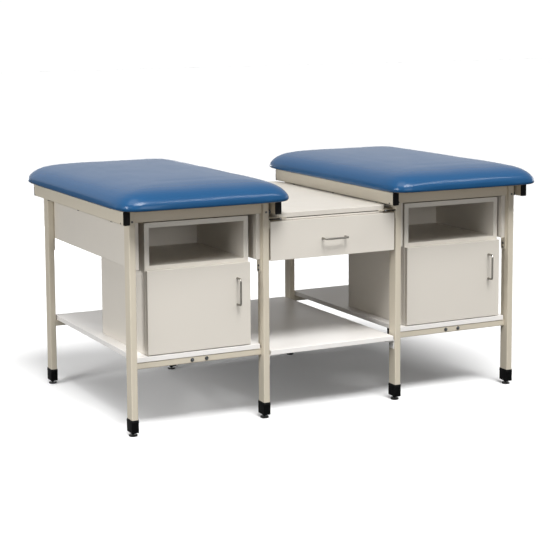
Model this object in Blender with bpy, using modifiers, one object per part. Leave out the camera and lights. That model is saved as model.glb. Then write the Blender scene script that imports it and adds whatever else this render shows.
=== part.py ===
"""Two-person athletic taping table: two padded treatment seats on steel frames, a worktop and a drawer
bay between them, and a cabinet under each seat. Metres, +Z up, front toward -Y, origin on the floor
under the middle of the whole table."""

import math

import bmesh
import bpy
from mathutils import Matrix, Vector

COLLECTION_NAME = "taping_table"

# General fits
FIT_GAP = 0.0003                # between two pieces that touch
CUT_OVERRUN = 0.004             # how far a cutter runs past the face it cuts
EDGE_BREAK = 0.0008             # softened edge of boards and plates

# Steel frame
STATION_WIDTH = 0.5774          # over the legs of one seat
BAY_WIDTH = 0.5702              # between the inner legs of the two seats
FRAME_DEPTH = 0.9718            # over the front and rear legs
LEG_WIDTH = 0.0254
LEG_DEPTH = 0.0508
TUBE_WALL = 0.002
TUBE_CORNER = 0.003
RAIL_TOP = 0.8588               # top of legs and rails
RAIL_HEIGHT = 0.0508
RAIL_WIDTH = 0.0254
RAIL_FRONT_OVERHANG = 0.034     # past the front legs
RAIL_REAR_OVERHANG = 0.0142     # past the rear legs
RAIL_LEG_GAP = 0.0093           # bridged by the spacers
CROSS_RAIL_RECESS = 0.0127
LOWER_RAIL_SIZE = 0.0254
LOWER_RAIL_RECESS = 0.024
LOWER_RAIL_BOTTOM = 0.2521
STRETCHER_WIDTH = 0.0762
CAP_PLATE = 0.003               # plug that closes the end of a side rail

# Feet
BOOT_BOTTOM = 0.017
BOOT_HEIGHT = 0.0465
BOOT_WALL = 0.0015
BOOT_FLOOR = 0.005
GLIDE_RADIUS = 0.0165
GLIDE_DISC = 0.007
GLIDE_CHAMFER = 0.0015
GLIDE_STEM_RADIUS = 0.005
GLIDE_STEM_TOP = 0.060
GLIDE_NUT_RADIUS = 0.009
GLIDE_NUT_HEIGHT = 0.0055
GLIDE_STEPS = 16
STEM_CLEARANCE = 0.0004

# Boards, straps and aprons
BOARD = 0.019
APRON_THICKNESS = 0.016
APRON_FRONT = 0.021             # behind the front face of the legs
APRON_HEIGHT = 0.1785
APRON_RAIL_GAP = 0.0005
STRAP_WIDTH = 0.032
STRAP_THICKNESS = 0.004
STRAP_FRONT = 0.0165
STRAP_HEIGHT = 0.2305
STRAP_ROUND = 0.010
SEAT_IN = 0.001                 # how far a lug or boss sinks into the wall it is welded to
SHELF_LEG_GAP = 0.006
SHELF_FRONT = 0.0215

# Middle bay
CENTRE_SHELF_BOTTOM = 0.2503
CENTRE_SHELF_FRONT = 0.004
BRACKET_REACH = 0.042
BRACKET_DROP = 0.036
BRACKET_WIDTH = 0.038
BRACKET_THICKNESS = 0.003
WORKTOP_LEG_GAP = 0.03635
WORKTOP_FRONT = 0.005
WORKTOP_CORNER = 0.038
WORKTOP_DROP = 0.0207           # below the side rails
SUPPORT_REACH = 0.0773
SUPPORT_DROP = 0.037
SUPPORT_THICKNESS = 0.0032
SUPPORT_FRONT = 0.002

# Drawer
HOUSING_LEG_GAP = 0.0636
HOUSING_FRONT = 0.030
HOUSING_DEPTH = 0.450
HOUSING_BOARD = 0.016
HOUSING_HEIGHT = 0.1535
DRAWER_LEG_GAP = 0.0065
DRAWER_FRONT_LAP = 0.0075       # below the housing
DRAWER_FRONT_HEIGHT = 0.1525
SLIDE_SPACE = 0.0127            # between the housing side and the drawer box
SLIDE_HEIGHT = 0.040
SLIDE_RISE = 0.060              # middle of the slides above the housing's lower edge
SLIDE_WEB = 0.0018
SLIDE_LIP = 0.009
SLIDE_END_INSET = 0.010
SLIDE_PLAY = 0.0008
DRAWER_WALL = 0.012
DRAWER_FLOOR = 0.008
DRAWER_BOX_RISE = 0.012
DRAWER_BOX_HEIGHT = 0.105
DRAWER_BACK_GAP = 0.0197        # behind the closed drawer box

# Cabinets under the seats
CABINET_LEFT_INSET = {"left": 0.0770, "right": 0.0674}  # from the outside of the legs on its left
CABINET_RIGHT_INSET = {"left": 0.0694, "right": 0.0542}
CABINET_FRONT = 0.043
CABINET_DEPTH = 0.438
CABINET_RAIL_GAP = 0.008
OPEN_BAY_RISE = 0.0145          # floor of the open bay above the drawer front's lower edge
DOOR_THICKNESS = 0.019
DOOR_GAP = 0.002
DOOR_REVEAL = 0.0015
DOOR_BOTTOM_LAP = 0.0155        # how far the door laps the bottom board
DOOR_TOP_GAP = 0.001            # below the line of the drawer front

# Concealed hinges: a cup bored into the door and an arm on the cabinet side
HINGE_CUP_RADIUS = 0.0145
HINGE_CUP_DEPTH = 0.0085
HINGE_CUP_EDGE = 0.0225         # cup middle from the door's edge
HINGE_CUP_SIDES = 24
HINGE_END_INSET = 0.070         # hinge middle from the door's ends
HINGE_ARM_HEIGHT = 0.012
HINGE_ARM_THICKNESS = 0.012
HINGE_ARM_LENGTH = 0.060
HINGE_ARM_GAP = 0.0004          # tip of the arm above the bottom of the cup

# Pulls
PULL_RADIUS = 0.004
PULL_SPAN = 0.102               # post to post
PULL_REACH = 0.035
PULL_BEND = 0.009
DOOR_PULL_INSET = 0.056
DOOR_PULL_DROP = 0.1085         # below the door's upper edge
DRAWER_PULL_RISE = 0.065        # above the housing's lower edge
PULL_BEND_STEPS = 4

# Seats
PAD_SIDE_OVERHANG = 0.03075     # past the side rails
PAD_END_OVERHANG = 0.081        # past the ends of the side rails
PAD_CORNER = 0.084
PAD_WIDEST_LEVEL = 0.014        # above the rails
PAD_CROWN = 0.0763
PAD_CROWN_RUN = 0.269
PAD_UNDER_CURVE = 0.017
PAD_CELLS = 10
PAD_CAGE_MARGIN = 0.00115       # the cage stands this far outside the smoothed cushion
SEAT_BOARD_INSET = 0.040
SEAT_BOARD_THICKNESS = 0.012
SEAT_BOARD_CORNER = 0.048

# Bosses that keep the side rails off the legs
BOLT_RISE = 0.006               # above the lower face of the side rails
BOLT_SETBACK = 0.0127
BOLT_RADIUS = 0.003
BOSS_RADIUS = 0.0055
BOSS_SIDES = 12

# Shares that shape the pad and the round edges
PAD_RING_SHARES = (1.0, 0.706, 0.335, 0.149, 0.056, 0.012)
PAD_SIDE_LEVEL_SHARES = (1.0, 0.36, 0.0)
PAD_SIDE_INSET_SHARES = (0.0, 0.22, 1.0)
PAD_CORNER_LOSS_SHARE = 0.45
PAD_CORNER_ANGLE_SHARE = 0.30
ALIGNED_SHARE = 0.9
SMOOTH_ANGLE = math.radians(35)

# Planes that several pieces share
RAIL_LENGTH = RAIL_FRONT_OVERHANG + FRAME_DEPTH + RAIL_REAR_OVERHANG
LEG_FRONT = RAIL_FRONT_OVERHANG - RAIL_LENGTH / 2
LEG_BACK = LEG_FRONT + FRAME_DEPTH
RAIL_BOTTOM = RAIL_TOP - RAIL_HEIGHT
SHELF_BOTTOM = LOWER_RAIL_BOTTOM + LOWER_RAIL_SIZE + FIT_GAP
SHELF_TOP = SHELF_BOTTOM + BOARD
CABINET_BOTTOM = SHELF_TOP + FIT_GAP
APRON_TOP = RAIL_BOTTOM - APRON_RAIL_GAP
WORKTOP_BOTTOM = RAIL_BOTTOM - WORKTOP_DROP
SUPPORT_TOP = WORKTOP_BOTTOM - FIT_GAP
SUPPORT_BOTTOM = SUPPORT_TOP - SUPPORT_THICKNESS
HOUSING_TOP = SUPPORT_BOTTOM - FIT_GAP
HOUSING_BOTTOM = HOUSING_TOP - HOUSING_HEIGHT
DRAWER_FRONT_BOTTOM = HOUSING_BOTTOM - DRAWER_FRONT_LAP
SLIDE_LEVEL = HOUSING_BOTTOM + SLIDE_RISE
CABINET_TOP = RAIL_BOTTOM - CABINET_RAIL_GAP
OPEN_BAY_FLOOR = DRAWER_FRONT_BOTTOM + OPEN_BAY_RISE
STATION_PITCH = BAY_WIDTH + STATION_WIDTH   # from one seat's middle to the other's
INNER_LEG_FACE = BAY_WIDTH / 2
PAD_WIDTH = STATION_WIDTH + 2 * (RAIL_LEG_GAP + RAIL_WIDTH + PAD_SIDE_OVERHANG)
PAD_LENGTH = RAIL_LENGTH + 2 * PAD_END_OVERHANG
SIDES = {"left": -1, "right": 1}
ENDS = {"front": -1, "rear": 1}


def linear(level):
    """Linear value of an sRGB share."""
    return level / 12.92 if level <= 0.04045 else ((level + 0.055) / 1.055) ** 2.4


def make_material(name, shares, roughness, metallic):
    material = bpy.data.materials.new(name)
    material.use_nodes = True
    shader = material.node_tree.nodes["Principled BSDF"]
    colour = [linear(share) for share in shares] + [1.0]
    shader.inputs["Base Color"].default_value = colour
    shader.inputs["Roughness"].default_value = roughness
    shader.inputs["Metallic"].default_value = metallic
    material.diffuse_color = colour
    return material


def make_collection(name):
    collection = bpy.data.collections.new(name)
    bpy.context.scene.collection.children.link(collection)
    return collection


def add_box(bm, x, y, z):
    """Box between the two limits on each axis; returns its corners."""
    size = Vector((x[1] - x[0], y[1] - y[0], z[1] - z[0]))
    middle = Vector((x[0] + x[1], y[0] + y[1], z[0] + z[1])) / 2
    place = Matrix.Translation(middle) @ Matrix.Diagonal(size).to_4x4()
    return bmesh.ops.create_cube(bm, size=1, matrix=place)["verts"]


def edges_along(verts, axis):
    found = {edge for vert in verts for edge in vert.link_edges}
    along = []
    for edge in found:
        run = (edge.verts[1].co - edge.verts[0].co).normalized()
        if abs(run[axis]) > ALIGNED_SHARE:
            along.append(edge)
    return along


def round_edges(bm, edges, radius, segments):
    bmesh.ops.bevel(bm, geom=edges, offset=radius, segments=segments, profile=0.5, affect="EDGES")


def add_tube(bm, x, y, z, axis):
    """Open-ended skin of a rectangular tube along an axis; a Solidify gives it its wall."""
    verts = add_box(bm, x, y, z)
    bm.normal_update()
    faces = {face for vert in verts for face in vert.link_faces}
    ends = [face for face in faces if abs(face.normal[axis]) > ALIGNED_SHARE]
    bmesh.ops.delete(bm, geom=ends, context="FACES_ONLY")
    round_edges(bm, edges_along(verts, axis), TUBE_CORNER, 2)


def add_slab(bm, x, y, z, corner, segments):
    """Board with its upright corners rounded in plan."""
    verts = add_box(bm, x, y, z)
    round_edges(bm, edges_along(verts, 2), corner, segments)


def add_turned(bm, start, direction, radius, length, sides):
    """Cylinder that runs from a point along a direction."""
    turn = Vector((0, 0, 1)).rotation_difference(direction).to_matrix().to_4x4()
    place = Matrix.Translation(start + direction * length / 2) @ turn
    bmesh.ops.create_cone(
        bm, cap_ends=True, segments=sides, radius1=radius, radius2=radius, depth=length, matrix=place
    )


def link_part(name, data, material, place, parent=None, collection=None):
    part = bpy.data.objects.new(name, data)
    data.materials.append(material)
    (collection or parts).objects.link(part)
    if parent:
        part.parent = parent
        place = place - parent.location
    part.location = place
    return part


def make_part(name, bm, material, parent=None, smooth=False):
    """Object from a mesh in table coordinates, with its origin at the middle of its box."""
    lows = Vector([min(vert.co[axis] for vert in bm.verts) for axis in range(3)])
    highs = Vector([max(vert.co[axis] for vert in bm.verts) for axis in range(3)])
    middle = (lows + highs) / 2
    bmesh.ops.translate(bm, verts=bm.verts, vec=-middle)
    mesh = bpy.data.meshes.new(name)
    bm.to_mesh(mesh)
    bm.free()
    if smooth:
        mesh.shade_smooth()
        mesh.set_sharp_from_angle(angle=SMOOTH_ANGLE)
    return link_part(name, mesh, material, middle, parent)


def make_tube(name, x, y, z, axis, material):
    bm = bmesh.new()
    add_tube(bm, x, y, z, axis)
    part = make_part(name, bm, material, smooth=True)
    wall = part.modifiers.new("wall", "SOLIDIFY")
    wall.thickness = TUBE_WALL
    wall.offset = -1
    wall.use_even_offset = True
    return part


def break_edges(part, width=EDGE_BREAK):
    soft = part.modifiers.new("edges", "BEVEL")
    soft.width = width
    soft.segments = 1
    soft.limit_method = "ANGLE"
    soft.angle_limit = SMOOTH_ANGLE
    return part


def make_box(name, x, y, z, material, parent=None):
    bm = bmesh.new()
    add_box(bm, x, y, z)
    return break_edges(make_part(name, bm, material, parent))


def make_slab(name, x, y, z, corner, segments, material, parent=None):
    bm = bmesh.new()
    add_slab(bm, x, y, z, corner, segments)
    return break_edges(make_part(name, bm, material, parent, smooth=True))


def make_cutter(name, bm):
    """Hidden shape that a Boolean takes from a piece or adds to it."""
    mesh = bpy.data.meshes.new(name)
    bm.to_mesh(mesh)
    bm.free()
    cutter = bpy.data.objects.new(name, mesh)
    cutters.objects.link(cutter)
    cutter.hide_render = True
    cutter.display_type = "WIRE"
    return cutter


def combine(part, cutter, operation):
    step = part.modifiers.new(cutter.name, "BOOLEAN")
    step.operation = operation
    step.solver = "EXACT"
    step.object = cutter


def cut_boxes(part, name, boxes):
    bm = bmesh.new()
    for x, y, z in boxes:
        add_box(bm, x, y, z)
    combine(part, make_cutter(name, bm), "DIFFERENCE")


def make_profile(name, outline, start, length, material):
    """Flat X-Z outline run along Y from a start plane."""
    curve = bpy.data.curves.new(name, "CURVE")
    curve.dimensions = "2D"
    curve.fill_mode = "BOTH"
    curve.extrude = length / 2
    spline = curve.splines.new("POLY")
    spline.points.add(len(outline) - 1)
    for point, (x, z) in zip(spline.points, outline):
        point.co = (x, z, 0, 1)
    spline.use_cyclic_u = True
    part = link_part(name, curve, material, Vector((0, start + length / 2, 0)))
    part.rotation_euler = (math.pi / 2, 0, 0)
    return part


def make_axis(name, place):
    axis = bpy.data.objects.new(name, None)
    axis.empty_display_size = LEG_DEPTH
    axis.location = place
    parts.objects.link(axis)
    return axis


def from_front(near, far):
    return (LEG_FRONT + near, LEG_FRONT + far)


def from_end(end, near, far):
    """Limits measured inward from the front or the rear face of the legs."""
    if end == "front":
        return (LEG_FRONT + near, LEG_FRONT + far)
    return (LEG_BACK - far, LEG_BACK - near)


def span(first, second):
    return (min(first, second), max(first, second))


def station_middle(side):
    return SIDES[side] * STATION_PITCH / 2


def leg_x(side, place):
    """Limits of a leg across the table; outer legs are away from the bay."""
    middle = station_middle(side)
    toward = SIDES[side] if place == "outer" else -SIDES[side]
    outside = middle + toward * STATION_WIDTH / 2
    return span(outside, outside - toward * LEG_WIDTH), toward


def pull_path(length):
    """Points of a bent-wire pull along its own X, standing out along its own -Y."""
    reach = PULL_REACH - PULL_RADIUS
    half = length / 2
    path = [(-half, -FIT_GAP)]
    for corner, start in ((-1, math.pi), (1, 1.5 * math.pi)):
        centre = (corner * (half - PULL_BEND), PULL_BEND - reach)
        for step in range(PULL_BEND_STEPS + 1):
            angle = start + step / PULL_BEND_STEPS * math.pi / 2
            path.append((centre[0] + PULL_BEND * math.cos(angle), centre[1] + PULL_BEND * math.sin(angle)))
    path.append((half, -FIT_GAP))
    return path


def make_pull(name, place, upright, parent):
    curve = bpy.data.curves.new(name, "CURVE")
    curve.dimensions = "3D"
    curve.bevel_depth = PULL_RADIUS
    curve.bevel_resolution = 3
    curve.use_fill_caps = True
    spline = curve.splines.new("POLY")
    path = pull_path(PULL_SPAN)
    spline.points.add(len(path) - 1)
    for point, (along, out) in zip(spline.points, path):
        point.co = (along, out, 0, 1)
    spline.use_smooth = True
    pull = link_part(name, curve, nickel, place, parent)
    if upright:
        pull.rotation_euler = (0, math.pi / 2, 0)
    return pull


def ring_share(index, level):
    """Place of a pad line along its side, and its turn into the corner, both as shares."""
    if index == 0:
        return 0.0, 0.0
    near_corner = level - abs(index)
    turn = {0: 1.0, 1: PAD_CORNER_ANGLE_SHARE}.get(near_corner, 0.0)
    straight = max(level - 1, 1)
    return min(abs(index) / straight, 1.0) * (1 if index >= 0 else -1), turn


def pad_point(i, j, level, half_x, half_y, corner):
    """Point of a pad ring: straight runs and round corners."""
    if level == 0:
        return Vector((0, 0, 0))
    along_x = abs(j) >= abs(i)
    index = i if along_x else j
    share, turn = ring_share(index, level)
    half_run, half_side = (half_x, half_y) if along_x else (half_y, half_x)
    angle = turn * math.pi / 4
    run = share * (half_run - corner) + math.copysign(corner * math.sin(angle), share)
    side = half_side - corner + corner * math.cos(angle)
    side = math.copysign(side, j if along_x else i)
    return Vector((run, side, 0)) if along_x else Vector((side, run, 0))


def make_pad(side, board_cutter):
    """Cushion with a crowned top, rounded corners and sides drawn in under the seat."""
    bm = bmesh.new()
    bmesh.ops.create_grid(bm, x_segments=PAD_CELLS, y_segments=PAD_CELLS, size=1)
    for depth in range(1, len(PAD_SIDE_LEVEL_SHARES) + 1):
        rim = [edge for edge in bm.edges if edge.is_boundary]
        made = bmesh.ops.extrude_edge_only(bm, edges=rim)["geom"]
        for item in made:
            if isinstance(item, bmesh.types.BMVert):
                item.co.z = -depth
    bmesh.ops.edgeloop_fill(bm, edges=[edge for edge in bm.edges if edge.is_boundary])
    rings = PAD_CELLS // 2
    base = RAIL_TOP + FIT_GAP
    for vert in bm.verts:
        i = round(vert.co.x * rings)
        j = round(vert.co.y * rings)
        level = max(abs(i), abs(j))
        depth = round(-vert.co.z)
        if depth:
            inset = PAD_UNDER_CURVE * PAD_SIDE_INSET_SHARES[depth - 1]
            height = base + PAD_WIDEST_LEVEL * PAD_SIDE_LEVEL_SHARES[depth - 1]
        else:
            share = PAD_RING_SHARES[level]
            inset = PAD_CROWN_RUN * share
            height = base + PAD_WIDEST_LEVEL + PAD_CROWN * math.sqrt(1 - (1 - share) ** 2)
        corner = PAD_CORNER - min(inset, PAD_CORNER) * PAD_CORNER_LOSS_SHARE
        half_x = PAD_WIDTH / 2 + PAD_CAGE_MARGIN - inset
        half_y = PAD_LENGTH / 2 + PAD_CAGE_MARGIN - inset
        vert.co = pad_point(i, j, level, half_x, half_y, corner)
        vert.co += Vector((station_middle(side), 0, height))
    bmesh.ops.recalc_face_normals(bm, faces=bm.faces)
    pad = make_part(f"{side}_seat_pad", bm, vinyl, smooth=True)
    round_form = pad.modifiers.new("soft", "SUBSURF")
    round_form.levels = 1
    round_form.render_levels = 1
    combine(pad, board_cutter, "DIFFERENCE")
    return pad


# A fresh scene with the part and its cutters in collections of their own
for old in list(bpy.data.objects):
    bpy.data.objects.remove(old)
parts = make_collection(COLLECTION_NAME)
cutters = make_collection("cutters")

steel = make_material("powder_coated_steel", (0.80, 0.765, 0.70), 0.42, 0.0)
beige = make_material("beige_laminate", (0.845, 0.815, 0.77), 0.45, 0.0)
white = make_material("white_laminate", (0.91, 0.90, 0.875), 0.38, 0.0)
vinyl = make_material("blue_vinyl", (0.21, 0.36, 0.53), 0.42, 0.0)
black = make_material("black_plastic", (0.07, 0.07, 0.075), 0.5, 0.0)
nickel = make_material("satin_nickel", (0.62, 0.60, 0.57), 0.32, 1.0)
zinc = make_material("zinc_plated_steel", (0.52, 0.52, 0.51), 0.4, 1.0)
plywood = make_material("plywood", (0.72, 0.60, 0.44), 0.65, 0.0)

# Legs: rectangular tube with a strap for the apron, shod with a boot that holds the glide
boot_top = BOOT_BOTTOM + BOOT_HEIGHT
bore_bottom = BOOT_BOTTOM + BOOT_FLOOR
strap_z = (APRON_TOP - STRAP_HEIGHT, APRON_TOP)
legs = []
for side in SIDES:
    for place in ("outer", "inner"):
        for end in ENDS:
            x, toward = leg_x(side, place)
            y = from_end(end, 0, LEG_DEPTH)
            name = f"{side}_{place}_{end}"
            legs.append((name, side, place, end, x, y, toward))
            bm = bmesh.new()
            verts = add_box(bm, x, y, (bore_bottom, RAIL_TOP))
            round_edges(bm, edges_along(verts, 2), TUBE_CORNER, 2)
            leg = make_part(f"{name}_leg", bm, steel, smooth=True)

            boot = bmesh.new()
            boot_x = (x[0] - BOOT_WALL, x[1] + BOOT_WALL)
            boot_y = (y[0] - BOOT_WALL, y[1] + BOOT_WALL)
            verts = add_box(boot, boot_x, boot_y, (BOOT_BOTTOM, boot_top))
            round_edges(boot, edges_along(verts, 2), TUBE_CORNER + BOOT_WALL, 2)
            combine(leg, make_cutter(f"{name}_boot", boot), "UNION")

            strap = bmesh.new()
            face = x[0] if toward > 0 else x[1]
            strap_x = span(face + toward * SEAT_IN, face - toward * STRAP_THICKNESS)
            strap_y = from_end(end, STRAP_FRONT, STRAP_FRONT + STRAP_WIDTH)
            verts = add_box(strap, strap_x, strap_y, strap_z)
            low = [e for e in edges_along(verts, 0) if e.verts[0].co.z < (strap_z[0] + strap_z[1]) / 2]
            round_edges(strap, low, STRAP_ROUND, 3)
            combine(leg, make_cutter(f"{name}_strap", strap), "UNION")

            bore_x = (x[0] + TUBE_WALL, x[1] - TUBE_WALL)
            bore_y = (y[0] + TUBE_WALL, y[1] - TUBE_WALL)
            cut_boxes(leg, f"{name}_bore", [(bore_x, bore_y, (bore_bottom, RAIL_TOP + CUT_OVERRUN))])
            stem = bmesh.new()
            low_end = Vector(((x[0] + x[1]) / 2, (y[0] + y[1]) / 2, BOOT_BOTTOM - CUT_OVERRUN))
            hole = GLIDE_STEM_RADIUS + STEM_CLEARANCE
            add_turned(stem, low_end, Vector((0, 0, 1)), hole, BOOT_FLOOR + 2 * CUT_OVERRUN, GLIDE_STEPS)
            combine(leg, make_cutter(f"{name}_stem_hole", stem), "DIFFERENCE")

# Levelling glides: foot disc, lock nut and threaded stem, turned about the leg's axis
nut_top = BOOT_BOTTOM - FIT_GAP
nut_bottom = nut_top - GLIDE_NUT_HEIGHT
glide_profile = (
    (0, GLIDE_STEM_TOP),
    (GLIDE_STEM_RADIUS, GLIDE_STEM_TOP),
    (GLIDE_STEM_RADIUS, nut_top),
    (GLIDE_NUT_RADIUS, nut_top),
    (GLIDE_NUT_RADIUS, nut_bottom),
    (GLIDE_STEM_RADIUS, nut_bottom),
    (GLIDE_STEM_RADIUS, GLIDE_DISC),
    (GLIDE_RADIUS - GLIDE_CHAMFER, GLIDE_DISC),
    (GLIDE_RADIUS, GLIDE_DISC - GLIDE_CHAMFER),
    (GLIDE_RADIUS, GLIDE_CHAMFER),
    (GLIDE_RADIUS - GLIDE_CHAMFER, 0),
    (0, 0),
)
bm = bmesh.new()
points = [bm.verts.new((radius, 0, height)) for radius, height in glide_profile]
for first, second in zip(points, points[1:]):
    bm.edges.new((first, second))
glide_mesh = bpy.data.meshes.new("levelling_glide")
glide_mesh.materials.append(black)
bm.to_mesh(glide_mesh)
bm.free()
for name, side, place, end, x, y, toward in legs:
    glide = bpy.data.objects.new(f"{name}_glide", glide_mesh)
    glide.location = ((x[0] + x[1]) / 2, (y[0] + y[1]) / 2, 0)
    parts.objects.link(glide)
    turn = glide.modifiers.new("turn", "SCREW")
    turn.steps = GLIDE_STEPS
    turn.render_steps = GLIDE_STEPS
    turn.use_merge_vertices = True
    turn.merge_threshold = 0.0001
    turn.use_smooth_shade = False

# Side rails carry the seats: tubes closed by end plugs, with bored bosses against the legs
rail_y = (-RAIL_LENGTH / 2, RAIL_LENGTH / 2)
rail_z = (RAIL_BOTTOM, RAIL_TOP)
for side in SIDES:
    for place in ("outer", "inner"):
        leg, toward = leg_x(side, place)
        face = leg[1] if toward > 0 else leg[0]
        rail_face = face + toward * RAIL_LEG_GAP
        x = span(rail_face, rail_face + toward * RAIL_WIDTH)
        name = f"{side}_{place}"
        bm = bmesh.new()
        round_edges(bm, edges_along(add_box(bm, x, rail_y, rail_z), 1), TUBE_CORNER, 2)
        rail = make_part(f"{name}_side_rail", bm, steel, smooth=True)
        bosses = bmesh.new()
        bolts = bmesh.new()
        for end in ENDS:
            near, far = from_end(end, BOLT_SETBACK, BOLT_SETBACK)
            outward = Vector((toward, 0, 0))
            seat = Vector((face + toward * FIT_GAP, near, RAIL_BOTTOM + BOLT_RISE))
            add_turned(bosses, seat, outward, BOSS_RADIUS, RAIL_LEG_GAP - FIT_GAP + SEAT_IN, BOSS_SIDES)
            reach = RAIL_LEG_GAP + TUBE_WALL + 2 * CUT_OVERRUN
            add_turned(bolts, seat - outward * CUT_OVERRUN, outward, BOLT_RADIUS, reach, BOSS_SIDES)
        combine(rail, make_cutter(f"{name}_bosses", bosses), "UNION")
        bore_x = (x[0] + TUBE_WALL, x[1] - TUBE_WALL)
        bore_y = (rail_y[0] + CAP_PLATE, rail_y[1] - CAP_PLATE)
        cut_boxes(rail, f"{name}_bore", [(bore_x, bore_y, (rail_z[0] + TUBE_WALL, rail_z[1] - TUBE_WALL))])
        combine(rail, make_cutter(f"{name}_bolt_holes", bolts), "DIFFERENCE")

# Cross rails, stretcher, shelf and aprons of each station
for side in SIDES:
    middle = station_middle(side)
    left_leg, right_leg = sorted(leg_x(side, place)[0] for place in ("outer", "inner"))
    x = (left_leg[1] + FIT_GAP, right_leg[0] - FIT_GAP)
    lower_z = (LOWER_RAIL_BOTTOM, LOWER_RAIL_BOTTOM + LOWER_RAIL_SIZE)
    for end in ENDS:
        upper_y = from_end(end, CROSS_RAIL_RECESS, CROSS_RAIL_RECESS + RAIL_WIDTH)
        lower_y = from_end(end, LOWER_RAIL_RECESS, LOWER_RAIL_RECESS + LOWER_RAIL_SIZE)
        make_tube(f"{side}_{end}_upper_cross_rail", x, upper_y, rail_z, 0, steel)
        make_tube(f"{side}_{end}_lower_cross_rail", x, lower_y, lower_z, 0, steel)

    inner = LOWER_RAIL_RECESS + LOWER_RAIL_SIZE + FIT_GAP
    y = (LEG_FRONT + inner, LEG_BACK - inner)
    stretcher_x = (middle - STRETCHER_WIDTH / 2, middle + STRETCHER_WIDTH / 2)
    make_tube(f"{side}_stretcher", stretcher_x, y, lower_z, 1, steel)

    x = (left_leg[1] + SHELF_LEG_GAP, right_leg[0] - SHELF_LEG_GAP)
    y = (LEG_FRONT + SHELF_FRONT, LEG_BACK - SHELF_FRONT)
    make_box(f"{side}_shelf", x, y, (SHELF_BOTTOM, SHELF_TOP), white)

    apron_y = (LEG_FRONT + APRON_FRONT, LEG_BACK - APRON_FRONT)
    apron_z = (APRON_TOP - APRON_HEIGHT, APRON_TOP)
    for place in ("outer", "inner"):
        leg, toward = leg_x(side, place)
        face = leg[0] if toward > 0 else leg[1]
        start = face - toward * (STRAP_THICKNESS + FIT_GAP)
        apron_x = span(start, start - toward * APRON_THICKNESS)
        make_box(f"{side}_{place}_apron", apron_x, apron_y, apron_z, beige)

# Seats: a plywood board set into the underside of a crowned cushion
seat_z = (RAIL_TOP + FIT_GAP, RAIL_TOP + FIT_GAP + SEAT_BOARD_THICKNESS)
for side in SIDES:
    middle = station_middle(side)
    half_x = PAD_WIDTH / 2 - SEAT_BOARD_INSET
    half_y = PAD_LENGTH / 2 - SEAT_BOARD_INSET
    board_x = (middle - half_x, middle + half_x)
    make_slab(f"{side}_seat_board", board_x, (-half_y, half_y), seat_z, SEAT_BOARD_CORNER, 4, plywood)
    bm = bmesh.new()
    grown_x = (board_x[0] - FIT_GAP, board_x[1] + FIT_GAP)
    grown_y = (-half_y - FIT_GAP, half_y + FIT_GAP)
    grown_z = (seat_z[0] - CUT_OVERRUN, seat_z[1] + FIT_GAP)
    add_slab(bm, grown_x, grown_y, grown_z, SEAT_BOARD_CORNER + FIT_GAP, 4)
    make_pad(side, make_cutter(f"{side}_seat_recess", bm))

# Worktop on two steel angles that run along the inner legs
worktop_half = INNER_LEG_FACE - WORKTOP_LEG_GAP
worktop_x = (-worktop_half, worktop_half)
worktop_y = (LEG_FRONT + WORKTOP_FRONT, LEG_BACK - WORKTOP_FRONT)
worktop_z = (WORKTOP_BOTTOM, WORKTOP_BOTTOM + BOARD)
make_slab("worktop", worktop_x, worktop_y, worktop_z, WORKTOP_CORNER, 5, white)
support_length = FRAME_DEPTH - 2 * SUPPORT_FRONT
for side, out in SIDES.items():
    face = out * (INNER_LEG_FACE - FIT_GAP)
    web = face - out * SUPPORT_THICKNESS
    lip = face - out * SUPPORT_REACH
    drop = SUPPORT_TOP - SUPPORT_DROP
    angle = (
        (face, SUPPORT_TOP),
        (face, drop),
        (web, drop),
        (web, SUPPORT_BOTTOM),
        (lip, SUPPORT_BOTTOM),
        (lip, SUPPORT_TOP),
    )
    make_profile(f"{side}_worktop_support", angle, LEG_FRONT + SUPPORT_FRONT, support_length, steel)

# Centre shelf with the four angle brackets that hold it to the inner legs
shelf_half = INNER_LEG_FACE - SHELF_LEG_GAP
shelf_y = (LEG_FRONT + CENTRE_SHELF_FRONT, LEG_BACK - CENTRE_SHELF_FRONT)
shelf_z = (CENTRE_SHELF_BOTTOM, CENTRE_SHELF_BOTTOM + BOARD)
centre_shelf = make_box("centre_shelf", (-shelf_half, shelf_half), shelf_y, shelf_z, white)
flange_z = (CENTRE_SHELF_BOTTOM - BRACKET_THICKNESS, CENTRE_SHELF_BOTTOM + SEAT_IN)
web_z = (CENTRE_SHELF_BOTTOM - BRACKET_DROP, CENTRE_SHELF_BOTTOM - BRACKET_THICKNESS + SEAT_IN)
bracket_inset = (LEG_DEPTH - BRACKET_WIDTH) / 2
flanges = bmesh.new()
webs = bmesh.new()
for out in SIDES.values():
    face = out * (INNER_LEG_FACE - FIT_GAP)
    for end in ENDS:
        y = from_end(end, bracket_inset, bracket_inset + BRACKET_WIDTH)
        add_box(flanges, span(face, face - out * BRACKET_REACH), y, flange_z)
        web_y = (y[0] + EDGE_BREAK, y[1] - EDGE_BREAK)
        add_box(webs, span(face - out * FIT_GAP, face - out * BRACKET_THICKNESS), web_y, web_z)
combine(centre_shelf, make_cutter("bracket_flanges", flanges), "UNION")
combine(centre_shelf, make_cutter("bracket_webs", webs), "UNION")

# Drawer housing hung under the worktop supports, open at the front and below
half = INNER_LEG_FACE - HOUSING_LEG_GAP
inside = half - HOUSING_BOARD
housing_y = from_front(HOUSING_FRONT, HOUSING_FRONT + HOUSING_DEPTH)
housing_z = (HOUSING_BOTTOM, HOUSING_TOP)
housing = make_box("drawer_housing", (-half, half), housing_y, housing_z, beige)
hollow_y = (housing_y[0] - CUT_OVERRUN, housing_y[1] - HOUSING_BOARD)
hollow_z = (housing_z[0] - CUT_OVERRUN, housing_z[1] - HOUSING_BOARD)
cut_boxes(housing, "housing_hollow", [((-inside, inside), hollow_y, hollow_z)])

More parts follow.
